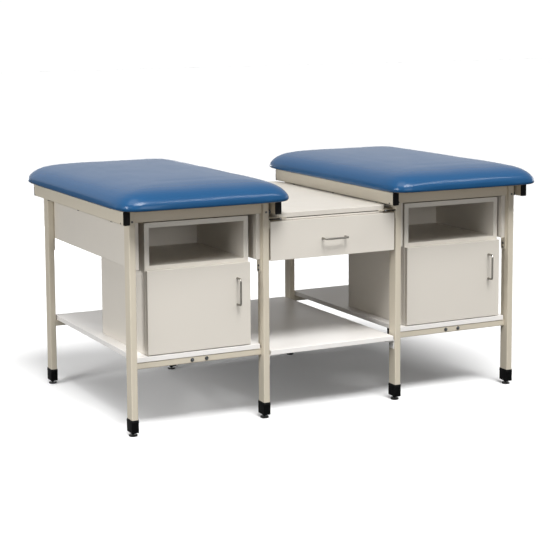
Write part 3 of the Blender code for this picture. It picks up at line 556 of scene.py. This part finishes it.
spacer = turned_blank("spacer", sides=20, radius=0.0066, low=0.0003, high=0.0090)
pick_faces(spacer, lambda middle, normal: abs(normal.z) > 0.9)
bpy.ops.mesh.inset(thickness=0.0008)
bpy.ops.object.mode_set(mode="OBJECT")
nut = turned_blank("nut", sides=6, radius=0.0088, low=0.0036, high=0.0090)
pick_faces(nut, lambda middle, normal: abs(normal.z) > 0.9)
bpy.ops.mesh.inset(thickness=0.0012, depth=0.0004)
bpy.ops.object.mode_set(mode="OBJECT")
soften(joined(spacer, nut), width=0.0003, steps=2, angle=50)

leg_half_width, leg_half_depth = 0.0127, 0.0254
rail_reach = 0.0347
bolt_level = 0.814
side_screw_ahead, spacer_behind, strap_behind = 0.008, 0.0127, 0.0325
strap_levels = (0.587, 0.604)
face_screws, rail_screws, spacers, strap_screws = [], [], [], []
for name, middle in leg_middles.items():
    side, place, end = name.split("_")
    toward = rail_side(side, place)
    ahead = -1 if end == "front" else 1
    face_y = middle.y + ahead * leg_half_depth
    side_x = middle.x + toward * leg_half_width
    face_screws.append(((middle.x, face_y, bolt_level), (0, ahead, 0)))
    rail_face = (side_x + toward * rail_reach, face_y + ahead * side_screw_ahead, bolt_level)
    rail_screws.append((rail_face, (toward, 0, 0)))
    spacers.append(((side_x, face_y - ahead * spacer_behind, bolt_level), (toward, 0, 0)))
    low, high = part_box(f"{name}_leg")
    strap_x = low.x if toward > 0 else high.x
    strap_y = face_y - ahead * strap_behind
    for level in strap_levels:
        strap_screws.append(((strap_x, strap_y, level), (-toward, 0, 0)))
scatter(socket_screw, "leg_face_screws", face_screws, "frame", dull_steel)
scatter(small_screw, "rail_side_screws", rail_screws, "frame", dull_steel)
scatter(spacer, "rail_spacers", spacers, "frame", dull_steel)
scatter(socket_screw, "strap_screws", strap_screws, "frame", dull_steel)

stretcher_bolt_offset = 0.030
seat_bolt_rows = (-0.36, 0.0, 0.36)
stretcher_bolts, seat_bolts = [], []
for side in ("left", "right"):
    low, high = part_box(f"{side}_front_lower_cross_rail")
    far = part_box(f"{side}_rear_lower_cross_rail")[1].y
    middle = (low + high) / 2
    for offset in (-stretcher_bolt_offset, stretcher_bolt_offset):
        stretcher_bolts.append(((middle.x + offset, low.y, middle.z), (0, -1, 0)))
        stretcher_bolts.append(((middle.x + offset, far, middle.z), (0, 1, 0)))
    for place in ("outer", "inner"):
        low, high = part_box(f"{side}_{place}_side_rail")
        x = tube_middle(low, high, rail_side(side, place))
        for y in seat_bolt_rows:
            seat_bolts.append(((x, y, low.z), (0, 0, -1)))
scatter(hex_bolt, "stretcher_bolts", stretcher_bolts, "frame", dull_steel)
scatter(hex_bolt, "seat_bolts", seat_bolts, "frame", dull_steel)

front_legs_y, rear_legs_y = -0.4506, 0.4704
bracket_foot_x, bracket_under = 0.2600, 0.2473
bracket_side_x, bracket_level = 0.2818, 0.2300
support_side_x, support_level = 0.2816, 0.7680
support_foot_x, support_under = 0.2380, 0.7838
bracket_screw_offset = 0.011
support_screw_rows = (-0.43, -0.15, 0.13, 0.45)
shelf_screws, support_screws = [], []
for out in (-1, 1):
    for leg_y in (front_legs_y, rear_legs_y):
        for offset in (-bracket_screw_offset, bracket_screw_offset):
            shelf_screws.append(((out * bracket_foot_x, leg_y + offset, bracket_under), (0, 0, -1)))
            shelf_screws.append(((out * bracket_side_x, leg_y + offset, bracket_level), (-out, 0, 0)))
        support_screws.append(((out * support_side_x, leg_y, support_level), (-out, 0, 0)))
    for y in support_screw_rows:
        support_screws.append(((out * support_foot_x, y, support_under), (0, 0, -1)))
scatter(small_screw, "centre_shelf_screws", shelf_screws, "frame", zinc)
scatter(small_screw, "worktop_support_screws", support_screws, "frame", zinc)

# Flange caps: black plastic clips pushed over the front and rear ends of the worktop supports, each held by a
# small screw at its inner end. Their black also stands in for painted shade in the two dark ends of the gap
# under the worktop.
clip_and_shade = block("clip_and_shade", (-0.0265, -0.0030, -0.0026), (0.0265, 0.0016, 0.0015))
pick_edges(clip_and_shade, lambda a, b: abs(a.x - b.x) < 0.001 and a.y < -0.002 and b.y < -0.002)
bpy.ops.mesh.bevel(offset=0.0012, segments=2)
pick_faces(clip_and_shade, lambda middle, normal: normal.y < -0.9)
bpy.ops.mesh.inset(thickness=0.0008, depth=-0.0004)
soften(clip_and_shade, width=0.0004, steps=2)
cap_x, cap_level = 0.2580, 0.7854
cap_screw_x, cap_screw_level, cap_screw_ahead = 0.2365, 0.7848, 0.0028
cap_screws = []
for side, out in (("left", -1), ("right", 1)):
    low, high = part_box(f"{side}_worktop_support")
    for end, y, ahead, angle in (("front", low.y, -1, 0), ("rear", high.y, 1, math.pi)):
        # Each black clip is partly a plastic cap and partly painted shade at the end of the gap under the
        # worktop
        seat = Matrix.Translation((out * cap_x, y, cap_level)) @ Matrix.Rotation(angle, 4, "Z")
        fit(copy_mesh(clip_and_shade, f"{side}_{end}_flange_cap_and_shade", seat), "frame", black_plastic)
        cap_screws.append(((out * cap_screw_x, y + ahead * cap_screw_ahead, cap_screw_level), (0, ahead, 0)))
bpy.data.objects.remove(clip_and_shade)
scatter(small_screw, "flange_cap_screws", cap_screws, "frame", zinc)

# Head strip: a narrow beige laminated strip screwed to the front of the drawer housing, over the drawer's
# front. It closes most of the gap under the worktop.
strip = block("head_strip", (-0.2268, -0.4700, 0.7763), (0.2268, -0.4461, 0.7833))
pick_edges(strip, runs_along(0))
bpy.ops.mesh.bevel(offset=0.0010, segments=2)
pick_faces(strip, lambda middle, normal: normal.y < -0.9)
bpy.ops.mesh.inset(thickness=0.0006, depth=0.0002)
soften(strip, width=0.0004, steps=2)
fit(strip, "frame", beige_board)

# Edge bands: thin pale plastic strips glued to the cut front edges of the two cabinets.
board = 0.019
divider_low, divider_high = 0.618, 0.637
band_front, band_back, seam = -0.4335, -0.43295, 0.0001
band = coated("edge_band", colour(226, 221, 211), colour(238, 235, 228), drift=0.02, fleck_scale=900,
              fleck=0.03, relief_scale=1200, depth=0.00004, low=0.32, high=0.42)
for side in ("left", "right"):
    low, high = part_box(f"{side}_cabinet")
    bars = []
    for x0, x1, z0, z1 in (
        (low.x, low.x + board, low.z, high.z),
        (high.x - board, high.x, low.z, high.z),
        (low.x + board, high.x - board, high.z - board, high.z),
        (low.x + board, high.x - board, divider_low, divider_high),
        (low.x + board, high.x - board, low.z, low.z + board),
    ):
        bar = block("bar", (x0 + seam, band_front, z0 + seam), (x1 - seam, band_back, z1 - seam))
        pick_faces(bar, lambda middle, normal: normal.y < -0.9)
        bpy.ops.mesh.inset(thickness=0.0005, depth=0.0001)
        bpy.ops.object.mode_set(mode="OBJECT")
        bars.append(bar)
    strips = joined(*bars)
    strips.name = f"{side}_cabinet_edge_band"
    fit(strips, "frame", band)

# Concealed hinges: a pressed nickel cup let into the door, and on the cabinet side an arm on a plate that
# two screws hold.
hinge_from_end, cup_from_edge, cup_sunk = 0.070, 0.0225, 0.0081
nickel_plain = coated("bright_nickel", colour(182, 180, 176), colour(214, 213, 210), drift=0.10, fleck_scale=90,
                      fleck=0.10, relief_scale=500, depth=0.00004, low=0.20, high=0.32, metallic=1.0)
bpy.ops.object.select_all(action="DESELECT")
bpy.ops.mesh.primitive_cylinder_add(
    vertices=32, radius=0.0138, depth=0.0082, end_fill_type="NOTHING", location=(0, 0, -0.0039)
)
cup = named("cup")
pick_edges(cup, lambda a, b: a.z > 0 and b.z > 0)
bpy.ops.mesh.extrude_edges_move()
bpy.ops.transform.resize(value=(1.246, 1.246, 1), center_override=(0, 0, 0))
bpy.ops.object.mode_set(mode="OBJECT")
sheet = cup.modifiers.new("sheet", "SOLIDIFY")
sheet.thickness = 0.0005
sheet.offset = 1
bpy.ops.object.modifier_apply(modifier=sheet.name)
soften(cup, width=0.00015, steps=1, angle=50)

plate = block("plate", (0.0001, 0.0180, -0.0200), (0.0019, 0.0580, 0.0200))
pick_edges(plate, runs_along(0))
bpy.ops.mesh.bevel(offset=0.0060, segments=4)
bpy.ops.object.mode_set(mode="OBJECT")
arm = block("arm", (-0.0002, -0.0002, -0.0063), (0.0122, 0.0604, 0.0063))
pick_faces(arm, lambda middle, normal: normal.x > 0.9)
bpy.ops.mesh.inset(thickness=0.0022)
push(-0.0012, 0, 0)
bpy.ops.object.mode_set(mode="OBJECT")
soften(joined(arm, plate), width=0.0006, steps=2, angle=50)
for side in ("left", "right"):
    door_low, door_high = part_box(f"{side}_door")
    cabinet_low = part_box(f"{side}_cabinet")[0]
    cups, plate_screws = [], []
    for number, level in enumerate((door_low.z + hinge_from_end, door_high.z - hinge_from_end)):
        cups.append(((door_low.x + cup_from_edge, door_high.y, level), (0, 1, 0)))
        tip = Vector((cabinet_low.x + board, door_high.y - cup_sunk, level))
        fit(copy_mesh(arm, f"{side}_hinge_arm_{number + 1}", Matrix.Translation(tip)), "frame",
            nickel_plain)
        for offset in (-0.0145, 0.0145):
            plate_screws.append(((tip.x + 0.0019, tip.y + 0.038, level + offset), (1, 0, 0)))
        plate_screws.append(((tip.x + 0.0110, tip.y + 0.044, level), (1, 0, 0)))
    scatter(cup, f"{side}_hinge_cups", cups, f"{side}_door", nickel_plain)
    scatter(small_screw, f"{side}_hinge_screws", plate_screws, "frame", nickel_plain)
bpy.data.objects.remove(cup)
bpy.data.objects.remove(arm)

# Door and drawer fittings: the screws that hold the pulls, the backs of the cabinets and the front of the
# drawer, and soft rubber bumpers in the corners of the doors that meet the cabinet.
half_board = 0.0095
pull_screw_from_end = 0.004
bumper_from_side, bumper_from_foot, bumper_from_top = 0.010, 0.022, 0.010
back_screw_above_middle = 0.08
drawer_screw_x, drawer_screw_levels, drawer_screw_in = (-0.15, 0.15), (0.668, 0.722), 0.012
bumper = turned_blank("bumper", sides=16, radius=0.0042, low=0, high=0.0011)
pick_faces(bumper, lambda middle, normal: normal.z > 0.9)
bpy.ops.mesh.inset(thickness=0.0010, depth=0.0003)
soften(bumper, width=0.0003, steps=2, angle=40)
rubber = coated("grey_rubber", colour(150, 150, 148), colour(176, 176, 174), drift=0.10, fleck_scale=300,
                fleck=0.10, relief_scale=900, depth=0.00005, low=0.45, high=0.60)
for side in ("left", "right"):
    door_low, door_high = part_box(f"{side}_door")
    pull_low, pull_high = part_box(f"{side}_door_pull")
    pull_x = (pull_low.x + pull_high.x) / 2
    back = [((pull_x, door_high.y, z), (0, 1, 0))
            for z in (pull_low.z + pull_screw_from_end, pull_high.z - pull_screw_from_end)]
    scatter(small_screw, f"{side}_pull_screws", back, f"{side}_door", zinc)
    corners = [((door_high.x - bumper_from_side, door_high.y, z), (0, 1, 0))
               for z in (door_low.z + bumper_from_foot, door_high.z - bumper_from_top)]
    scatter(bumper, f"{side}_door_bumpers", corners, f"{side}_door", rubber)
    low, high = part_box(f"{side}_cabinet_back")
    back = [((x, high.y, z), (0, 1, 0))
            for x in (low.x + half_board, (low.x + high.x) / 2, high.x - half_board)
            for z in (low.z + half_board, (low.z + high.z) / 2 + back_screw_above_middle, high.z - half_board)]
    scatter(small_screw, f"{side}_cabinet_back_screws", back, "frame", zinc)
box_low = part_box("drawer_box")[0]
inside = [((x, box_low.y + drawer_screw_in, z), (0, 1, 0)) for x in drawer_screw_x for z in drawer_screw_levels]
scatter(small_screw, "drawer_front_screws", inside, "drawer", zinc)
for master in (socket_screw, small_screw, hex_bolt, spacer, bumper):
    bpy.data.objects.remove(master)

# Seats: foam cushions under one sheet of blue vinyl, pulled tight over the board and swollen in the middle.
# The vinyl has a fine pressed grain, whose creases are painted a darker blue as painted shade, and a soft
# sheen.
vinyl, tree, shader, place = start_material("blue_vinyl")
cells = node(tree, "ShaderNodeTexVoronoi", {"Vector": place, "Scale": 620.0, "Randomness": 0.9},
             feature="DISTANCE_TO_EDGE")
creases = node(tree, "ShaderNodeMapRange", {"Value": cells.outputs["Distance"], "From Min": 0.0,
                                            "From Max": 0.22})
body = fill(tree, tone, {"Vector": place, "Colour": colour(21, 76, 120), "Patch Scale": 3.0,
                         "Fleck Scale": 500.0, "Drift": 0.10, "Fleck": 0.06})
# Painted shade: the creases between the grain's cells take a darker blue than the vinyl around them
grain_with_painted_crease_shade = blend(tree, creases.outputs[0], colour(18, 69, 110), body.outputs["Colour"])
grain = fill(tree, relief, {"Vector": place, "Scale": 300.0, "Low": 0.25, "High": 0.27})
bump = node(tree, "ShaderNodeBump", {"Height": creases.outputs[0], "Distance": 0.00002, "Strength": 0.2})
shader.inputs["Specular IOR Level"].default_value = 0.32
connect(tree, shader, grain_with_painted_crease_shade, grain.outputs["Roughness"], bump)


def pad_copy(name):
    """Own mesh of a CAD cushion, with its doubles merged."""
    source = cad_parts[name]
    bpy.ops.object.select_all(action="DESELECT")
    piece = bpy.data.objects.new(f"{name}_cover", source.data.copy())
    bpy.context.scene.collection.objects.link(piece)
    piece.data.materials.clear()
    piece.data.materials.append(vinyl)
    piece.select_set(True)
    bpy.context.view_layer.objects.active = piece
    bpy.ops.object.mode_set(mode="EDIT")
    bpy.ops.mesh.select_all(action="SELECT")
    bpy.ops.mesh.remove_doubles(threshold=0.00005)
    bpy.ops.object.mode_set(mode="OBJECT")
    return piece


cushion = pad_copy("left_seat_pad")
remesh = cushion.modifiers.new("even", "REMESH")
remesh.mode = "VOXEL"
remesh.voxel_size = 0.0095
bpy.ops.object.modifier_apply(modifier=remesh.name)
# Foam fills the cover most at its shoulder and a little unevenly, so the streaks of light on it waver
widest_height, shoulder, crown_loss, unevenness = 0.0123, 0.6, 0.6, 0.12
pad_low, pad_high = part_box("left_seat_pad")
widest = pad_low.z + widest_height
full = cushion.vertex_groups.new(name="full")
for vert in cushion.data.vertices:
    share = (vert.co.z - widest) / (pad_high.z - widest)
    if share > 0:
        rise = min(share / shoulder, 1)
        crown = 1 - crown_loss * max(0, (share - shoulder) / 0.4)
        uneven = 1 - unevenness + unevenness * noise.noise(vert.co * 6)
        full.add([vert.index], rise * (1.5 - 0.5 * rise * rise) * crown * uneven, "REPLACE")
foam = cushion.modifiers.new("foam", "DISPLACE")
foam.vertex_group = full.name
foam.strength = 0.0135
foam.mid_level = 0
bpy.ops.object.modifier_apply(modifier=foam.name)
# Air pressure then swells the cover evenly; it is held where it is stapled, and no point moves far
held_height, held_least, most_move = 0.03, 0.3, 0.008
board_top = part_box("left_seat_board")[1].z
before = [vert.co.copy() for vert in cushion.data.vertices]
held = cushion.vertex_groups.new(name="held")
for vert in cushion.data.vertices:
    held.add([vert.index], max(1 - max(vert.co.z - board_top, 0) / held_height, held_least), "REPLACE")
cloth = cushion.modifiers.new("swell", "CLOTH")
cloth.settings.quality = 5
cloth.settings.mass = 0.4
cloth.settings.tension_stiffness = 60
cloth.settings.compression_stiffness = 60
cloth.settings.bending_stiffness = 8
cloth.settings.use_pressure = True
cloth.settings.uniform_pressure_force = 12
cloth.settings.effector_weights.gravity = 0
cloth.settings.vertex_group_mass = "held"
cloth.collision_settings.use_collision = False
for step in range(1, 13):
    bpy.context.scene.frame_set(step)
shaped = cushion.evaluated_get(bpy.context.evaluated_depsgraph_get())
after = [vert.co.copy() for vert in shaped.data.vertices]
cushion.modifiers.remove(cloth)
bpy.context.scene.frame_set(1)
for vert, old, new in zip(cushion.data.vertices, before, after):
    move = new - old
    if move.length > most_move:
        move = move.normalized() * most_move
    vert.co = old + move
smooth = cushion.modifiers.new("smooth", "SUBSURF")
smooth.levels = 1
smooth.render_levels = 1
bpy.ops.object.modifier_apply(modifier=smooth.name)
# Its lower edge rolls in under the seat, on the curve of the foam, to where it is stapled
roll_height, roll_fade = 0.026, 0.014
edge = cushion.vertex_groups.new(name="edge")
for vert in cushion.data.vertices:
    height = vert.co.z - pad_low.z
    if height < roll_height:
        edge.add([vert.index], min((roll_height - height) / roll_fade, 1), "REPLACE")
roll = cushion.modifiers.new("roll", "SHRINKWRAP")
roll.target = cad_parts["left_seat_pad"]
roll.vertex_group = edge.name
bpy.ops.object.modifier_apply(modifier=roll.name)
cushion.data.shade_smooth()
second = cushion.copy()
second.data = cushion.data.copy()
second.name = "right_seat_pad_cover"
bpy.context.scene.collection.objects.link(second)
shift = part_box("right_seat_pad")[0].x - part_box("left_seat_pad")[0].x
second.data.transform(Matrix.Translation((shift, 0, 0)))
for side, piece in (("left", cushion), ("right", second)):
    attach(piece, "frame")
    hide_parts(f"{side}_seat_pad")
